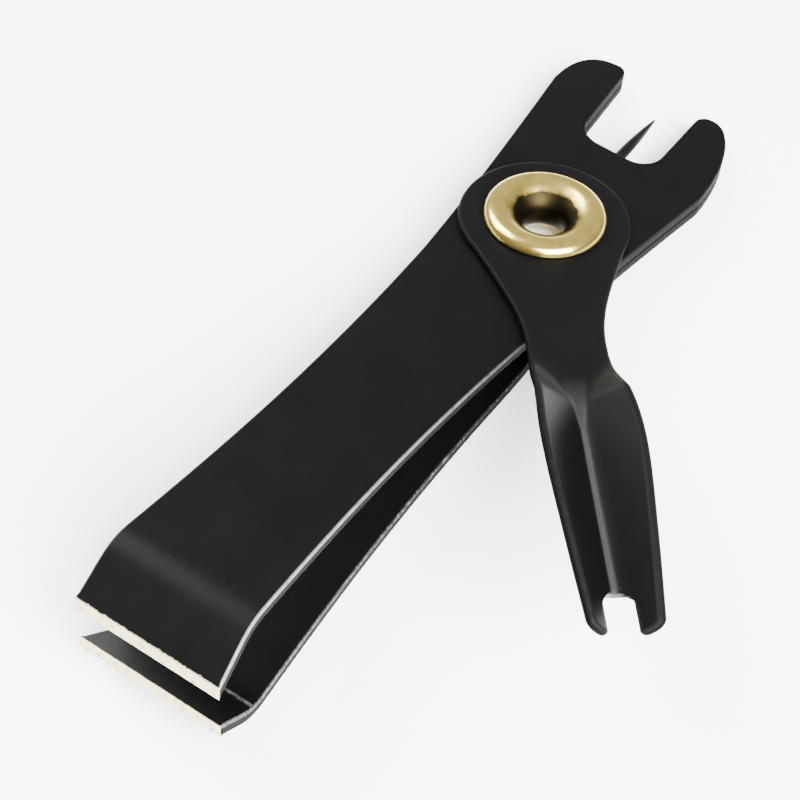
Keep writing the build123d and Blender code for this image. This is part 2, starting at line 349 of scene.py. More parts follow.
def mitre(corner, before_deg, after_deg, shift):
    """Where two runs meet once each has moved sideways by shift."""
    a, b = math.radians(before_deg), math.radians(after_deg)
    n1, n2 = np.array((-math.sin(a), math.cos(a))), np.array((-math.sin(b), math.cos(b)))
    return np.array(corner) + shift * (n1 + n2) / (1 + n1 @ n2)


lip_corner_x = jaw_end + 2.95 * MM
lip_deg = 38.0
lip_radius = 2.6 * MM
upper_rise_deg = 3.5  # the upper arm's slope from the eyelet to its lip
lower_first_deg, lower_fall_deg = 17.6, 8.1  # the lower arm's two slopes
past_end = 3 * MM  # the side views run on past the cutting plane


def towards_jaws(start, angle_deg, run):
    """A point run metres nearer the jaws along X, on a line that climbs by angle_deg."""
    return np.array((start[0] - run, start[1] + run * math.tan(math.radians(angle_deg))))


upper_root = np.array((-6.6 * MM, strip))
upper_lip = towards_jaws(upper_root, upper_rise_deg, upper_root[0] - lip_corner_x)
upper_end = towards_jaws(upper_lip, -lip_deg, lip_corner_x - jaw_end + past_end)
lower_root = np.array((-4.6 * MM, -strip))
lower_knee = towards_jaws(lower_root, -lower_first_deg, 5.9 * MM)
lower_lip = towards_jaws(lower_knee, -lower_fall_deg, lower_knee[0] - lip_corner_x)
lower_end = towards_jaws(lower_lip, lip_deg, lip_corner_x - jaw_end + past_end)

half = strip / 2
upper_middle = rounded_line(
    (
        (20 * MM, half),
        mitre(upper_root, 0, -upper_rise_deg, -half),
        mitre(upper_lip, -upper_rise_deg, lip_deg, -half),
        mitre(upper_end, lip_deg, lip_deg, -half),
    ),
    (12 * MM, lip_radius),
)
lower_middle = rounded_line(
    (
        (20 * MM, -half),
        mitre(lower_root, 0, lower_first_deg, half),
        mitre(lower_knee, lower_first_deg, lower_fall_deg, half),
        mitre(lower_lip, lower_fall_deg, -lip_deg, half),
        mitre(lower_end, -lip_deg, -lip_deg, half),
    ),
    (5 * MM, 18 * MM, lip_radius),
)


def ground_end(loop):
    """The cutting end is ground after tumbling, so its edge is left almost sharp."""
    return np.where(loop[:, 0] < jaw_end + 1e-6, 0.12, 1.0)


def arm(name, middle):
    """One arm: the shared outline bent along its own side view."""
    skin = arm_skin(middle)
    return sheet(name, arm_segments(), barrel_hole, skin, half, arm_round, 0.2 * MM, ground_end)


upper_arm = arm("upper_arm", upper_middle)
lower_arm = arm("lower_arm", lower_middle)
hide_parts("upper_arm_tail", "upper_arm_jaw")
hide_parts("lower_arm_tail", "lower_arm_jaw")
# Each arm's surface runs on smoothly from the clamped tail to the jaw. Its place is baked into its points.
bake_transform(upper_arm)
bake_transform(lower_arm)

# %% [markdown]
# ## The knot tool
# A thinner sheet: a round head on the eyelet, a flat neck, and a blade whose two sides are folded
# up into a channel that ends in a notch. The fold lines start at the neck's corners and run
# together into a narrow floor strip. A bend modifier folds along one straight line only, so the
# height is worked out instead: the wall's slope times how far a point lies outside the fold line,
# with the corner softened as a press brake leaves it.

# %% knot tool
swing = math.radians(180 + 37)
along = np.array((math.cos(swing), math.sin(swing)))
across = np.array((-math.sin(swing), math.cos(swing)))
tool_sheet = 0.55 * MM
tool_reach = 34.1 * MM
head_radius = 5.6 * MM
tool_hole = 2.35 * MM
fold_start, fold_meet = 12.4 * MM, 17.0 * MM
neck_edge, floor_strip = 2.45 * MM, 0.32 * MM
crank_start, crank_slope = 6.2 * MM, math.tan(math.radians(4))
wall_marks = np.array((
    (11.0, 0.0), (12.4, 0.05), (14.5, 0.5), (17.0, 0.84), (20.5, 0.93), (35.0, 1.05))) * MM
neck_join = (2.8, 4.85)  # mm, where the head's arc ends and the neck's spline starts
tip_root = 30.4 * MM  # where the core splits for the two wall tips


def ramp(x, soft):
    """Zero below 0 and x above it, with the corner rounded over about soft."""
    return (x + np.sqrt(x * x + soft * soft)) / 2


def fold_line(reach):
    """Half width of the flat floor: the neck's width up to the folds, then a narrow strip."""
    turn = np.clip((reach - fold_start) / (fold_meet - fold_start), 0, 1)
    return neck_edge + (floor_strip - neck_edge) * turn


def tool_middle(points):
    """Middle surface of the folded sheet over plan points (along, across)."""
    reach, out = points[:, 0], np.abs(points[:, 1])
    wall = through(wall_marks, np.clip(reach, 11.0 * MM, 35.0 * MM)) / MM
    rise = ramp(reach - crank_start, 0.8 * MM) * crank_slope
    crease = np.interp(reach / MM, (13.0, 17.0, 22.0), (0.5, 0.42, 0.2)) * MM
    fold = ramp(out - fold_line(reach), crease) - ramp(-fold_line(reach), crease)
    height = tool_floor + tool_sheet / 2 + rise + np.maximum(wall, 0) * fold
    flat = points[:, :1] * along + points[:, 1:] * across
    return np.column_stack((flat, height))


def tool_skin(points, side):
    """Middle surface moved along its normal, which comes from two small steps on the surface."""
    step = 0.01 * MM
    here = tool_middle(points)
    ahead = tool_middle(points + (step, 0)) - here
    beside = tool_middle(points + (0, step)) - here
    normal = np.cross(ahead, beside)
    normal /= np.linalg.norm(normal, axis=1)[:, None]
    return here + normal * (np.asarray(side) * tool_sheet / 2)[:, None]


def fold_share(first, core):
    """Where the way from the edge to the centre line crosses the fold: the grid gets its rings
    there, so that the crease runs along the grid."""
    reach = core[:, 0]
    width = np.maximum(np.abs(first[:, 1]), 0.1 * MM)
    share = np.clip(1 - fold_line(reach) / width, 0.08, 0.92)
    begun = np.clip((reach - fold_start) / (1.5 * MM), 0, 1)
    not_ended = np.clip((tip_root - reach) / (1.0 * MM), 0, 1)
    return 0.5 + (share - 0.5) * begun * not_ended


def tool_segments():
    """Head arc, neck and channel edges, rounded wall tips and the notch, anticlockwise."""
    marks = np.array((neck_join, (6.2, 3.56), (10.6, 2.5), (14.0, 2.52), (17.0, 2.72),
                      (20.5, 2.88), (26.5, 2.58), (30.0, 2.3), (33.6, 1.98))) * MM
    tip_outer, tip_inner, notch = 0.55 * MM, 0.32 * MM, 0.9 * MM
    reach = np.linspace(neck_join[0] * MM, 33.55 * MM, 160)
    edge = np.column_stack((reach, through(marks, reach)))
    notch_floor = tool_reach - 3.1 * MM + notch
    tip_core = np.array(((tip_root, 0), (tip_root + 1.1 * MM, 1.15 * MM), (33.3 * MM, 1.42 * MM)))
    tip_inner_arc = arc((tool_reach - tip_inner, notch + tip_inner), tip_inner, 270, 360, 6)
    tip_outer_arc = arc((tool_reach - tip_outer, edge[-1, 1] - tip_outer), tip_outer, 0, 90, 9)
    head_turn = math.degrees(math.atan2(neck_join[1], neck_join[0]))
    split = np.searchsorted(reach, (5.2 * MM, tip_root + 0.6 * MM))
    middle = np.array(((tip_root, 0), (tool_hole, 0)))
    side = edge[split[0] : split[1] + 1][::-1]
    flip = np.array((1, -1))
    upper = (
        (arc((notch_floor, 0), notch, 180, 90, 9), tip_core[:1], 8),
        (np.array(((notch_floor, notch), tip_inner_arc[0])), tip_core, 12),
        (np.vstack((tip_inner_arc, tip_outer_arc)), tip_core[-1:], 14),
        (np.vstack((tip_outer_arc[-1:], edge[split[1] :][::-1])), tip_core[::-1], 12),
        (side, middle, 120),
        (edge[: split[0] + 1][::-1], arc((0, 0), tool_hole, 0, 50), 12),
    )
    head = (arc((0, 0), head_radius, head_turn, 360 - head_turn, 120),
            arc((0, 0), tool_hole, 50, 310, 80), 110)
    lower = tuple((outer[::-1] * flip, inner[::-1] * flip, count) for outer, inner, count in upper[::-1])
    return upper + (head,) + lower


knot_arm = sheet(
    "knot_arm", tool_segments(), tool_hole, tool_skin, tool_sheet / 2, tool_round, 0.27 * MM,
    crease=fold_share, rings=16)
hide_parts("knot_tool")
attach(knot_arm, "knot_arm")

# %% [markdown]
# ## The eyelet
# A brass tube with a rim that was rolled over the stack. A spun profile alone would be too
# perfect: the rolling tool leaves shallow dents where the tube flared into the rim. So the
# profile is turned round the axis by formula, and its funnel is pushed in and out by two waves.


# %% eyelet
bore = 1.35 * MM
barrel = barrel_hole - 0.01 * MM
rim_seat = tool_floor + tool_sheet + 0.02 * MM


def eyelet_profile():
    """Closed section (radius, height), walked so that the metal lies to its left."""
    roll = 0.25 * MM
    marks = np.array(((0.0, 1.35, 0.3), (0.8, 1.52, 1.06), (1.5, 2.02, 1.66), (2.3, 2.72, 2.06),
                      (3.0, 3.36, 2.14), (3.7, 3.87, 1.87), (4.2, 4.04, 1.52))) * MM
    run = np.linspace(0, 4.2 * MM, 64)
    crown = np.column_stack((through(marks[:, :2], run), through(marks[:, ::2], run)))
    crown[:, 1] = np.minimum(crown[:, 1], rim_top)
    crown[:, 0] = np.clip(crown[:, 0], bore, rim_radius)
    lower = arc((3.4 * MM - roll, -strip - roll), roll, 90, -90, 10)
    t = np.linspace(0, 1, 16)
    flare = np.column_stack((bore + (2.2 * MM - bore) * (1 - t) ** 1.8, set_end_low + 1.45 * MM * t))
    under = arc((rim_radius - 0.13 * MM, rim_seat + 0.08 * MM), 0.08 * MM, 0, -90, 5)
    return np.vstack((crown, under, ((barrel, rim_seat), (barrel, -strip)), lower, flare))


def revolve(name, profile, around, dents=None):
    """Turn a closed section about Z: grid (angle, profile point) to r cos a, r sin a, z."""
    a = np.linspace(0, 2 * math.pi, around, endpoint=False)[:, None]
    r, z = (profile[:, 0] + 0 * a), (profile[:, 1] + 0 * a)
    if dents is not None:
        r, z = dents(a, r, z)
    points = np.stack((r * np.cos(a), r * np.sin(a), z), -1).reshape(-1, 3)
    m = len(profile)
    i, j = np.arange(around)[:, None], np.arange(m)[None]
    i2, j2 = (i + 1) % around, (j + 1) % m
    faces = np.stack((i * m + j, i * m + j2, i2 * m + j2, i2 * m + j), -1).reshape(-1, 4)
    return make_mesh(name, points, faces, {})


def rolled_dents(a, r, z):
    """Low waves round the funnel, strongest at its mouth and gone on the crown and in the bore."""
    above = 1 / (1 + np.exp(-(z - 1.25 * MM) / (0.12 * MM)))
    mouth = above * np.exp(-(((r - 1.95 * MM) / (0.4 * MM)) ** 2))
    waves = 0.6 * np.sin(5 * a + 0.7) + 0.4 * np.sin(8 * a + 2.1)
    return r + 0.05 * MM * mouth * waves, z + 0.03 * MM * mouth * waves


eyelet_body = revolve("eyelet_body", eyelet_profile(), 160, rolled_dents)
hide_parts("eyelet")
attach(eyelet_body, "clamped_tail")

# %% [markdown]
# ## The needle
# A round steel wire ground down to a point. A cone would look stiff: a real point's side is a
# long curve, so the radius follows a power of the way to the tip. It swells very slightly first.

# %% needle
needle_radius = 0.38 * MM
point_radius = 0.05 * MM
needle_y = -0.25 * MM


def needle_surface(stations, around):
    """Grid (angle, station): a line along X plus r (cos a, sin a), where r is
    R (1 - p^2.2) + t p, and p runs from 0 at the notch's floor to 1 at the point."""
    reach = np.linspace(needle_start, needle_tip, stations)
    past = np.clip((reach - notch_x) / (needle_tip - notch_x), 0, 1)
    radius = needle_radius * (1 - past**2.2) + point_radius * past
    radius[[0, -1]] = 0
    turn = np.linspace(0, 2 * math.pi, around, endpoint=False)[:, None]
    x = reach + 0 * turn
    grid = np.stack((x, needle_y + radius * np.cos(turn), radius * np.sin(turn)), -1)
    i, j = np.arange(around)[:, None] * stations, np.arange(stations - 1)[None]
    i2 = (i + stations) % (around * stations)
    faces = np.stack((i + j, i2 + j, i2 + j + 1, i + j + 1), -1)
    return grid.reshape(-1, 3), faces.reshape(-1, 4)


needle_wire = make_mesh("needle_wire", *needle_surface(60, 32), {})
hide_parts("needle")
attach(needle_wire, "clamped_tail")

# %% [markdown]
# ## Finishes
# Every finish is worked out in the shader from real millimetres: object coordinates are metres,
# so they are scaled by a thousand before any pattern reads them. A finish could also be painted
# on an unwrapped picture, but a formula stays sharp at any distance and needs no seams.


# %% shader helpers
def linear(hex_colour):
    """sRGB hex to linear: c / 12.92 below 0.04045, else ((c + 0.055) / 1.055) ^ 2.4."""
    c = np.array([int(hex_colour[k : k + 2], 16) for k in (1, 3, 5)]) / 255
    return (*np.where(c <= 0.04045, c / 12.92, ((c + 0.055) / 1.055) ** 2.4), 1)


def add(tree, kind, inputs=None, **settings):
    """One node: settings are its properties, inputs are constants or other nodes' sockets."""
    node = tree.nodes.new(kind)
    for key, value in settings.items():
        setattr(node, key, value)
    for key, value in (inputs or {}).items():
        if isinstance(value, bpy.types.NodeSocket):
            tree.links.new(value, node.inputs[key])
        else:
            node.inputs[key].default_value = value
    return node


def new_material(name):
    """An empty material, and object coordinates in millimetres."""
    material = bpy.data.materials.new(name)
    material.use_nodes = True
    tree = material.node_tree
    tree.nodes.clear()
    place = add(tree, "ShaderNodeTexCoord").outputs["Object"]
    millimetres = add(tree, "ShaderNodeVectorMath", {0: place, 1: (1000, 1000, 1000)}, operation="MULTIPLY")
    return material, tree, millimetres.outputs["Vector"]


def coat(piece, material):
    """Give a piece its one finish."""
    piece.data.materials.clear()
    piece.data.materials.append(material)
    print(piece.name, "is finished in", material.name)


# %% [markdown]
# ## Black oxide on spring steel
# The steel pieces are stamped, tumbled, and then boiled in salts until a skin of black oxide
# grows on them. To the eye it is a satin, almost colourless black. The skin is only about a
# micron thick, so it rubs through where the tool is handled, and pale steel shows along the
# edges and in nicks by the jaws. Along the stamped sides the pale steel is kept to the upper
# rounding and the top of the side, so there it is also a painted highlight. A paler strip runs
# along the channel's floor. Each of these is a small function that works out how bare the steel
# is, from 0 to 1. The finish then mixes oxide and steel by the largest of them.


# %% wear of the black finish
def worn_and_lit_edge(tree, part, rim, level, chip, wear):
    """The upper rounding and the top of the stamped side: rim times a ramp on level. Bareness is
    that edge times a ramp that grows towards the jaws, broken up by the chip noise. It is wear,
    and also a painted highlight along the upper edge."""
    # Pale steel only on the upper rounding and the top of the side: wear, and a painted highlight there.
    upper = add(tree, "ShaderNodeMapRange", {"Value": level, "From Min": 0.3, "From Max": 0.75})
    edge = add(tree, "ShaderNodeMath", {0: upper.outputs["Result"], 1: rim}, operation="MULTIPLY")
    ahead = add(tree, "ShaderNodeMapRange", {
        "Value": part.outputs["X"], "From Min": -7.0, "From Max": -36.0, "To Min": 0.0, "To Max": wear})
    worn_and_lit = add(tree, "ShaderNodeMath", {
        0: edge.outputs["Value"], 1: ahead.outputs["Result"]}, operation="MULTIPLY")
    uneven = add(tree, "ShaderNodeMapRange", {
        "Value": chip, "From Min": 0.25, "From Max": 0.6, "To Min": 0.35, "To Max": 1.0})
    bare = add(tree, "ShaderNodeMath", {
        0: worn_and_lit.outputs["Value"], 1: uneven.outputs["Result"]}, operation="MULTIPLY")
    return edge.outputs["Value"], bare.outputs["Value"]


def nicks_and_scratch(tree, moved, part, edge, level, chip, strength):
    """Nicks: the edge wherever a 0.2 mm noise is over a limit that falls towards the jaws.
    Scratch: a line 0.3 mm wide in the crease of the lip, near the -Y edge, where the other lip's
    corner rubs it."""
    nick_start = -9.0  # mm along X
    lip_crease = -36.9
    small = add(tree, "ShaderNodeTexNoise", {
        "Vector": moved, "Scale": 5.0, "Detail": 4.0, "Roughness": 0.7})
    limit = add(tree, "ShaderNodeMapRange", {
        "Value": part.outputs["X"], "From Min": -12.0, "From Max": -34.0, "To Min": 0.60, "To Max": 0.50})
    bite = add(tree, "ShaderNodeMath", {
        0: small.outputs["Fac"], 1: limit.outputs["Result"]}, operation="GREATER_THAN")
    nicks = add(tree, "ShaderNodeMath", {0: edge, 1: bite.outputs["Value"]}, operation="MULTIPLY")
    jaws = add(tree, "ShaderNodeMath", {0: part.outputs["X"], 1: nick_start}, operation="LESS_THAN")
    nicks = add(tree, "ShaderNodeMath", {
        0: nicks.outputs["Value"], 1: jaws.outputs["Value"]}, operation="MULTIPLY")

    off = add(tree, "ShaderNodeMath", {0: part.outputs["X"], 1: lip_crease}, operation="SUBTRACT")
    off = add(tree, "ShaderNodeMath", {0: off.outputs["Value"]}, operation="ABSOLUTE")
    line = add(tree, "ShaderNodeMapRange", {
        "Value": off.outputs["Value"], "From Min": 0.16, "From Max": 0.05})
    near_edge = add(tree, "ShaderNodeMapRange", {
        "Value": part.outputs["Y"], "From Min": -1.6, "From Max": -3.0})
    broken = add(tree, "ShaderNodeMapRange", {
        "Value": chip, "From Min": 0.4, "From Max": 0.6, "To Max": 0.4})
    scratch = add(tree, "ShaderNodeMath", {
        0: line.outputs["Result"], 1: near_edge.outputs["Result"]}, operation="MULTIPLY")
    scratch = add(tree, "ShaderNodeMath", {
        0: scratch.outputs["Value"], 1: broken.outputs["Result"]}, operation="MULTIPLY")
    scratch = add(tree, "ShaderNodeMath", {
        0: scratch.outputs["Value"], 1: level}, operation="MULTIPLY", use_clamp=True)
    worn = add(tree, "ShaderNodeMath", {
        0: nicks.outputs["Value"], 1: scratch.outputs["Value"]}, operation="MAXIMUM")
    worn = add(tree, "ShaderNodeMath", {0: worn.outputs["Value"], 1: strength}, operation="MULTIPLY")
    return worn.outputs["Value"]


def channel_strip_and_scrape(tree, mm, rim, strength):
    """Pale steel on a strip of the channel's floor that narrows from 1.6 mm to 0.34 mm, and the
    line scrapes the notch's floor and one flank of its cut face. Both are measured along and
    across the knot tool's own middle line."""
    reach = add(tree, "ShaderNodeVectorMath", {0: mm, 1: (*along, 0)}, operation="DOT_PRODUCT")
    reach = reach.outputs["Value"]
    sideways = add(tree, "ShaderNodeVectorMath", {0: mm, 1: (*across, 0)}, operation="DOT_PRODUCT")
    sideways = sideways.outputs["Value"]
    off = add(tree, "ShaderNodeMath", {0: sideways}, operation="ABSOLUTE").outputs["Value"]
    half_width = add(tree, "ShaderNodeMapRange", {
        "Value": reach, "From Min": 14.5, "From Max": 19.0, "To Min": 0.8, "To Max": 0.17})
    inside = add(tree, "ShaderNodeMath", {0: half_width.outputs["Result"], 1: off}, operation="SUBTRACT")
    inside = add(tree, "ShaderNodeMapRange", {
        "Value": inside.outputs["Value"], "From Min": -0.06, "From Max": 0.08})
    past = add(tree, "ShaderNodeMapRange", {"Value": reach, "From Min": 14.5, "From Max": 20.0})
    strip_band = add(tree, "ShaderNodeMath", {
        0: inside.outputs["Result"], 1: past.outputs["Result"]}, operation="MULTIPLY")
    strip_band = add(tree, "ShaderNodeMath", {0: strip_band.outputs["Value"], 1: strength}, operation="MULTIPLY")

    cut = add(tree, "ShaderNodeMapRange", {"Value": rim, "From Min": 0.35, "From Max": 0.7})
    flank = add(tree, "ShaderNodeMapRange", {"Value": sideways, "From Min": 0.5, "From Max": 0.2})
    inner = add(tree, "ShaderNodeMapRange", {"Value": off, "From Min": 1.5, "From Max": 1.3})
    root = add(tree, "ShaderNodeMapRange", {"Value": reach, "From Min": 30.9, "From Max": 31.4})
    tip = add(tree, "ShaderNodeMapRange", {
        "Value": reach, "From Min": 33.5, "From Max": 33.2, "To Max": 0.7})
    scraped = cut
    for limit in (flank, inner, root, tip):
        scraped = add(tree, "ShaderNodeMath", {
            0: scraped.outputs[0], 1: limit.outputs["Result"]}, operation="MULTIPLY")
    bare = add(tree, "ShaderNodeMath", {
        0: strip_band.outputs["Value"], 1: scraped.outputs["Value"]}, operation="MAXIMUM")
    return bare.outputs["Value"]


# %% [markdown]
# ## The black finish put together
# The oxide's gloss is low, and lower still on the stamped sides, which tear as the punch goes
# through. Noise and a scatter of specks keep the flat faces from looking like plastic. The
# cutting end is ground last, so there it is bare, cream-white steel up to a ragged border.


# %% blackened steel
def black_oxide(name, seed, wear, sheen, ground_x=None, nicked=0.0, strip_strength=0.0, dull_from=0.55):
    """Oxide and bare steel mixed by the largest of the wears, one of which is also a painted
    highlight on the upper edges. ground_x is the cutting plane.
    dull_from is how far round the edge, from 0 to 1, the stamped side's dullness begins."""
    material, tree, mm = new_material(name)
    rim = add(tree, "ShaderNodeAttribute", attribute_name="rim").outputs["Fac"]
    level = add(tree, "ShaderNodeAttribute", attribute_name="level").outputs["Fac"]
    part = add(tree, "ShaderNodeSeparateXYZ", {"Vector": mm})
    moved = add(tree, "ShaderNodeVectorMath", {0: mm, 1: (seed, 2 * seed, 0)}, operation="ADD")
    moved = moved.outputs["Vector"]
    # Patterns per millimetre: clouds 3 mm across from the salt bath, tumbled grain of 0.14 mm,
    # flakes of 0.4 mm and specks 0.7 mm apart. The real grain is finer. It is drawn as coarse as
    # it needs to show.
    cloud = add(tree, "ShaderNodeTexNoise", {"Vector": moved, "Scale": 0.35, "Detail": 3.0})
    grain = add(tree, "ShaderNodeTexNoise", {"Vector": moved, "Scale": 7.0, "Detail": 4.0})
    chip = add(tree, "ShaderNodeTexNoise", {
        "Vector": moved, "Scale": 2.6, "Detail": 5.0, "Roughness": 0.7}).outputs["Fac"]
    speck = add(tree, "ShaderNodeTexVoronoi", {"Vector": moved, "Scale": 1.4, "Randomness": 1.0})
    dust = add(tree, "ShaderNodeMapRange", {
        "Value": speck.outputs["Distance"], "From Min": 0.05, "From Max": 0.02, "To Max": 0.5})
    oxide = add(tree, "ShaderNodeMix", {
        "Factor": cloud.outputs["Fac"], "A": linear("#030303"), "B": linear("#050506")},
        data_type="RGBA")
    dusty = add(tree, "ShaderNodeMix", {
        "Factor": dust.outputs["Result"], "A": oxide.outputs["Result"], "B": linear("#2a2a29")},
        data_type="RGBA")

    # Worn steel along the upper edges, which is also a painted highlight.
    edge, bare = worn_and_lit_edge(tree, part, rim, level, chip, wear)
    others = []
    if nicked:
        others.append(nicks_and_scratch(tree, moved, part, edge, level, chip, nicked))
    # A paler strip on the channel's floor, and a scrape in the notch.
    if strip_strength:
        others.append(channel_strip_and_scrape(tree, mm, rim, strip_strength))
    for other in others:
        bare = add(tree, "ShaderNodeMath", {0: bare, 1: other}, operation="MAXIMUM").outputs["Value"]
    steel = add(tree, "ShaderNodeMix", {
        "Factor": grain.outputs["Fac"], "A": linear("#8f8c86"), "B": linear("#c4c1ba")},
        data_type="RGBA")
    colour = add(tree, "ShaderNodeMix", {
        "Factor": bare, "A": dusty.outputs["Result"], "B": steel.outputs["Result"]}, data_type="RGBA")
    if ground_x is not None:
        # X is measured from the cutting plane, and the border is moved by the chips.
        beyond = add(tree, "ShaderNodeMath", {0: part.outputs["X"], 1: -ground_x / MM}, operation="ADD")
        border = add(tree, "ShaderNodeMath", {
            0: chip, 1: -0.24, 2: beyond.outputs["Value"]}, operation="MULTIPLY_ADD")
        ground = add(tree, "ShaderNodeMapRange", {
            "Value": border.outputs["Value"], "From Min": -0.05, "From Max": -0.12})
        bright = add(tree, "ShaderNodeMix", {
            "Factor": grain.outputs["Fac"], "A": linear("#b3a77c"), "B": linear("#efe6c4")},
            data_type="RGBA")
        colour = add(tree, "ShaderNodeMix", {
            "Factor": ground.outputs["Result"],
            "A": colour.outputs["Result"],
            "B": bright.outputs["Result"],
        }, data_type="RGBA")
        bare = add(tree, "ShaderNodeMath", {
            0: bare, 1: ground.outputs["Result"]}, operation="MAXIMUM").outputs["Value"]

    # The stamped side is coarser than the rolled faces, and hardly reflects. From the eyelet to
    # the fork the rounding is as dull as the side.
    dull = add(tree, "ShaderNodeMapRange", {
        "Value": part.outputs["X"], "From Min": -9.0, "From Max": 1.0, "To Min": dull_from, "To Max": 0.05})
    full = add(tree, "ShaderNodeMath", {0: dull.outputs["Result"], 1: 0.4}, operation="ADD")
    side = add(tree, "ShaderNodeMapRange", {
        "Value": rim, "From Min": dull.outputs["Result"], "From Max": full.outputs["Value"]})
    side = side.outputs["Result"]
    satin = add(tree, "ShaderNodeMapRange", {
        "Value": cloud.outputs["Fac"], "To Min": 0.38, "To Max": 0.45})
    rough = add(tree, "ShaderNodeMapRange", {
        "Value": side, "To Min": satin.outputs["Result"], "To Max": 0.6})
    gloss = add(tree, "ShaderNodeMapRange", {"Value": side, "To Min": sheen, "To Max": 0.03})
    bump = add(tree, "ShaderNodeBump", {
        "Height": grain.outputs["Fac"], "Strength": 0.1, "Distance": 0.00002})
    shader = add(tree, "ShaderNodeBsdfPrincipled", {
        "Base Color": colour.outputs["Result"],
        "Metallic": bare,
        "Roughness": rough.outputs["Result"],
        "Specular IOR Level": gloss.outputs["Result"],
        "Normal": bump.outputs["Normal"],
    })
    add(tree, "ShaderNodeOutputMaterial", {"Surface": shader.outputs["BSDF"]})
    return material


upper_name = "black oxide on spring steel, upper arm"
lower_name = "black oxide on spring steel, lower arm"
tool_name = "black oxide on folded steel"
coat(upper_arm, black_oxide(upper_name, 3.0, 0.75, 0.07, jaw_end))
coat(lower_arm, black_oxide(lower_name, 17.0, 0.15, 0.07, jaw_end, nicked=0.28))
coat(knot_arm, black_oxide(tool_name, 41.0, 0.04, 0.08, strip_strength=0.05, dull_from=0.05))

# %% [markdown]
# ## Rolled brass
# The eyelet is drawn brass tube, rolled over in a press. The rim is handled and stays a warm
# yellow with soft mottling about 0.7 mm across. Its outer slope is darkened to olive as painted
# shade. The funnel is never polished, so it goes brown, and the brown is deepened as painted
# shade. Where the mottling meets the funnel it moves the brown's border in and out. The bore's
# lowest part is left untarnished, so it stays bright.


# %% brass
def rolled_brass():
    """Bright brass, darkened past 3.55 mm from the axis as painted shade, and tarnished within
    about 2.4 mm, deepened there as painted shade.
    """
    material, tree, mm = new_material("rolled brass")
    part = add(tree, "ShaderNodeSeparateXYZ", {"Vector": mm})
    flat = add(tree, "ShaderNodeCombineXYZ", {"X": part.outputs["X"], "Y": part.outputs["Y"]})
    radius = add(tree, "ShaderNodeVectorMath", {0: flat.outputs["Vector"]}, operation="LENGTH")
    cloud = add(tree, "ShaderNodeTexNoise", {"Vector": mm, "Scale": 1.4, "Detail": 3.0})
    # The funnel is tarnished brown, deepened as painted shade; the bore's lowest part stays untarnished.
    border = add(tree, "ShaderNodeMath", {
        0: cloud.outputs["Fac"], 1: 0.5, 2: radius.outputs["Value"]}, operation="MULTIPLY_ADD")
    within = add(tree, "ShaderNodeMapRange", {
        "Value": border.outputs["Value"], "From Min": 3.0, "From Max": 2.3})
    above = add(tree, "ShaderNodeMapRange", {
        "Value": part.outputs["Z"], "From Min": -1.2, "From Max": -0.5})
    tarnish_and_shade = add(tree, "ShaderNodeMath", {
        0: within.outputs["Result"], 1: above.outputs["Result"]}, operation="MULTIPLY").outputs["Value"]
    mottle = add(tree, "ShaderNodeMapRange", {
        "Value": cloud.outputs["Fac"], "From Min": 0.2, "From Max": 0.8})
    bright = add(tree, "ShaderNodeMix", {
        "Factor": mottle.outputs["Result"], "A": linear("#e3c056"), "B": linear("#fbe384")},
        data_type="RGBA")
    # Painted shade: the outer slope is darkened to olive.
    outer_shade = add(tree, "ShaderNodeMapRange", {
        "Value": radius.outputs["Value"], "From Min": 3.55, "From Max": 3.98, "To Max": 0.85})
    crown_with_shade = add(tree, "ShaderNodeMix", {
        "Factor": outer_shade.outputs["Result"], "A": bright.outputs["Result"], "B": linear("#7a6a34")},
        data_type="RGBA")
    colour = add(tree, "ShaderNodeMix", {
        "Factor": tarnish_and_shade, "A": crown_with_shade.outputs["Result"], "B": linear("#1c170c")}, data_type="RGBA")
    rough = add(tree, "ShaderNodeMapRange", {"Value": tarnish_and_shade, "To Min": 0.2, "To Max": 0.42})
    bump = add(tree, "ShaderNodeBump", {
        "Height": cloud.outputs["Fac"], "Strength": 0.3, "Distance": 0.00003})
    shader = add(tree, "ShaderNodeBsdfPrincipled", {
        "Base Color": colour.outputs["Result"],
        "Metallic": 1.0,
        "Roughness": rough.outputs["Result"],
        "Normal": bump.outputs["Normal"],
    })
    add(tree, "ShaderNodeOutputMaterial", {"Surface": shader.outputs["BSDF"]})
    return material


coat(eyelet_body, rolled_brass())

# %% [markdown]
# ## Blued needle steel
# The needle is hardened wire, drawn through a die and blued nearly black. Drawing leaves faint
# lines along it, so a noise is stretched along X, about twenty times longer than it is wide.


# %% needle steel
def needle_steel():
    """Dark metal, with colour and roughness that follow the drawn lines."""
    material, tree, mm = new_material("blued needle steel")
    stretch = add(tree, "ShaderNodeMapping", {"Vector": mm, "Scale": (0.4, 9.0, 9.0)})
    drawn = add(tree, "ShaderNodeTexNoise", {
        "Vector": stretch.outputs["Vector"], "Scale": 1.0, "Detail": 2.0})
    colour = add(tree, "ShaderNodeMix", {
        "Factor": drawn.outputs["Fac"], "A": linear("#1c1a18"), "B": linear("#34322f")},
        data_type="RGBA")
    rough = add(tree, "ShaderNodeMapRange", {
        "Value": drawn.outputs["Fac"], "To Min": 0.28, "To Max": 0.45})
    shader = add(tree, "ShaderNodeBsdfPrincipled", {
        "Base Color": colour.outputs["Result"],
        "Metallic": 1.0,
        "Roughness": rough.outputs["Result"],
    })
    add(tree, "ShaderNodeOutputMaterial", {"Surface": shader.outputs["BSDF"]})
    return material


coat(needle_wire, needle_steel())

# %% [markdown]
# ## The table
# The nipper rests on the lower arm's bend and on its prong tips, so in its own frame the table
# is tilted: its plane passes through those two places. A sheet of pale card is the plainest
# floor, and its tooth is too fine to see except where light grazes it.

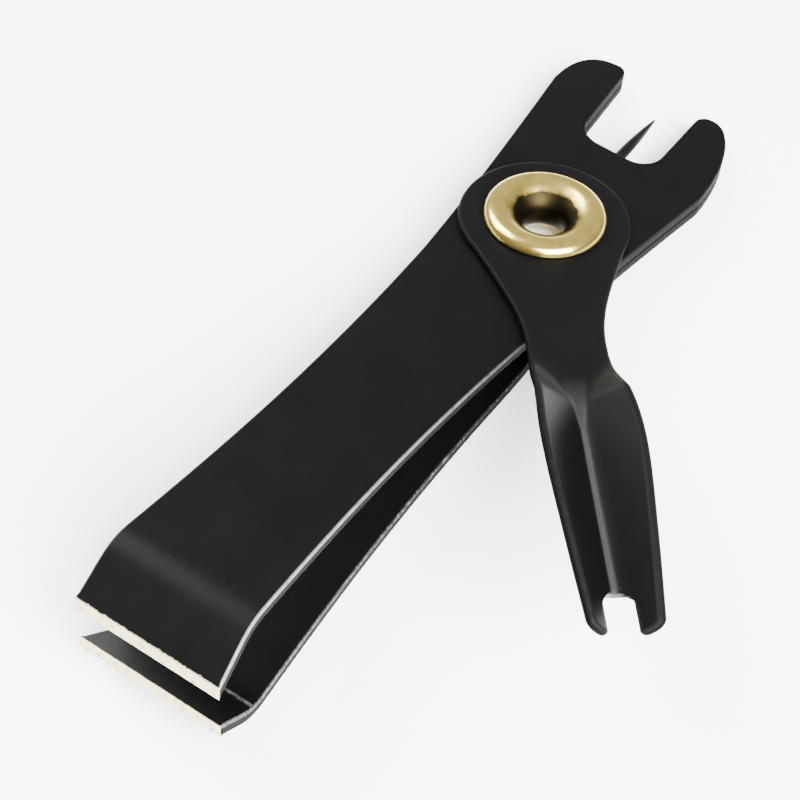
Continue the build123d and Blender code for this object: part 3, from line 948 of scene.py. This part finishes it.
# %% table
bend_foot = lower_lip
tip_foot = np.array((long_prong_tip, -strip))
table_slope = (tip_foot[1] - bend_foot[1]) / (tip_foot[0] - bend_foot[0])
table_half, table_lines = 0.6, 25


def table_height(x):
    """Height of the table under X, a hair below the places that touch it."""
    return bend_foot[1] + table_slope * (x - bend_foot[0]) - 0.03 * MM


def white_card():
    """Smooth white card with a barely visible tooth of 0.3 mm."""
    material, tree, mm = new_material("white card")
    tooth = add(tree, "ShaderNodeTexNoise", {"Vector": mm, "Scale": 3.0, "Detail": 3.0})
    bump = add(tree, "ShaderNodeBump", {
        "Height": tooth.outputs["Fac"], "Strength": 0.05, "Distance": 0.00002})
    shader = add(tree, "ShaderNodeBsdfPrincipled", {
        "Base Color": linear("#f4f4f2"),
        "Roughness": 0.8,
        "Normal": bump.outputs["Normal"],
    })
    add(tree, "ShaderNodeOutputMaterial", {"Surface": shader.outputs["BSDF"]})
    return material


spread = np.linspace(-table_half, table_half, table_lines)
gx, gy = np.meshgrid(spread, spread, indexing="ij")
cells = np.arange(table_lines - 1)[:, None] * table_lines + np.arange(table_lines - 1)[None]
squares = np.stack((cells, cells + table_lines, cells + table_lines + 1, cells + 1), -1).reshape(-1, 4)
table = make_mesh("table", np.stack((gx, gy, table_height(gx)), -1).reshape(-1, 3), squares, {})
coat(table, white_card())

# %% [markdown]
# ## Light
# Black metal shows only what it reflects. A pale room gives every face a little, one large
# softbox from the jaws' side draws the soft highlights along the bends, and a weak one opposite
# lifts the far edges.


# %% light
world = bpy.data.worlds.new("soft room")
world.use_nodes = True
world.node_tree.nodes.clear()
room = add(world.node_tree, "ShaderNodeBackground", {"Color": linear("#ffffff"), "Strength": 0.75})
add(world.node_tree, "ShaderNodeOutputWorld", {"Surface": room.outputs["Background"]})
bpy.context.scene.world = world

centre = np.array((-12.0, -4.0, 0.0)) * MM


def look_down(back):
    """Rotation whose local Z points along back, with Y kept as upright as it can be."""
    z = np.asarray(back, float)
    x = np.cross((0.0, 0.0, 1.0), z)
    x /= np.linalg.norm(x)
    y = np.cross(z, x)
    return Matrix(np.column_stack((x, y, z)).tolist()).to_4x4()


def softbox(name, direction, distance, size, power):
    """A square area light that looks at the middle of the nipper from a direction."""
    toward = np.array(direction, float)
    toward /= np.linalg.norm(toward)
    light = bpy.data.lights.new(name, "AREA")
    light.shape = "SQUARE"
    light.size = size
    light.energy = power
    lamp = bpy.data.objects.new(name, light)
    lamp.matrix_world = Matrix.Translation(centre + toward * distance) @ look_down(toward)
    bpy.context.scene.collection.objects.link(lamp)
    print(name, "at", np.round(centre + toward * distance, 3), "power", power)


softbox("window", (-0.5, -0.8, 0.75), 0.5, 0.4, 32.0)
softbox("fill", (0.0, 0.9, 1.0), 0.5, 0.3, 6.0)

# %% [markdown]
# ## Camera
# The camera stands off the jaws, above and a little to the -Y side, and looks down along the
# nipper. Its place and two of its axes are given, and the third is their cross product.

# %% camera
eye = np.array((-77.5, -35.3, 75.1)) * MM
right = np.array((0.5577, -0.8276, 0.0635))
up = np.array((0.5882, 0.4477, 0.673))
turned = Matrix(np.column_stack((right, up, np.cross(right, up))).tolist()).to_4x4()
camera_data = bpy.data.cameras.new("camera")
camera_data.lens = 78.1
camera_data.clip_start = 0.005
camera = bpy.data.objects.new("camera", camera_data)
camera.matrix_world = Matrix.Translation(eye) @ turned
bpy.context.scene.collection.objects.link(camera)
bpy.context.scene.camera = camera
print("camera at", eye)

# %% [markdown]
# ## Last update
# Last, the view layer is updated, so that every object's place is current.

# %% finish
bpy.context.view_layer.update()
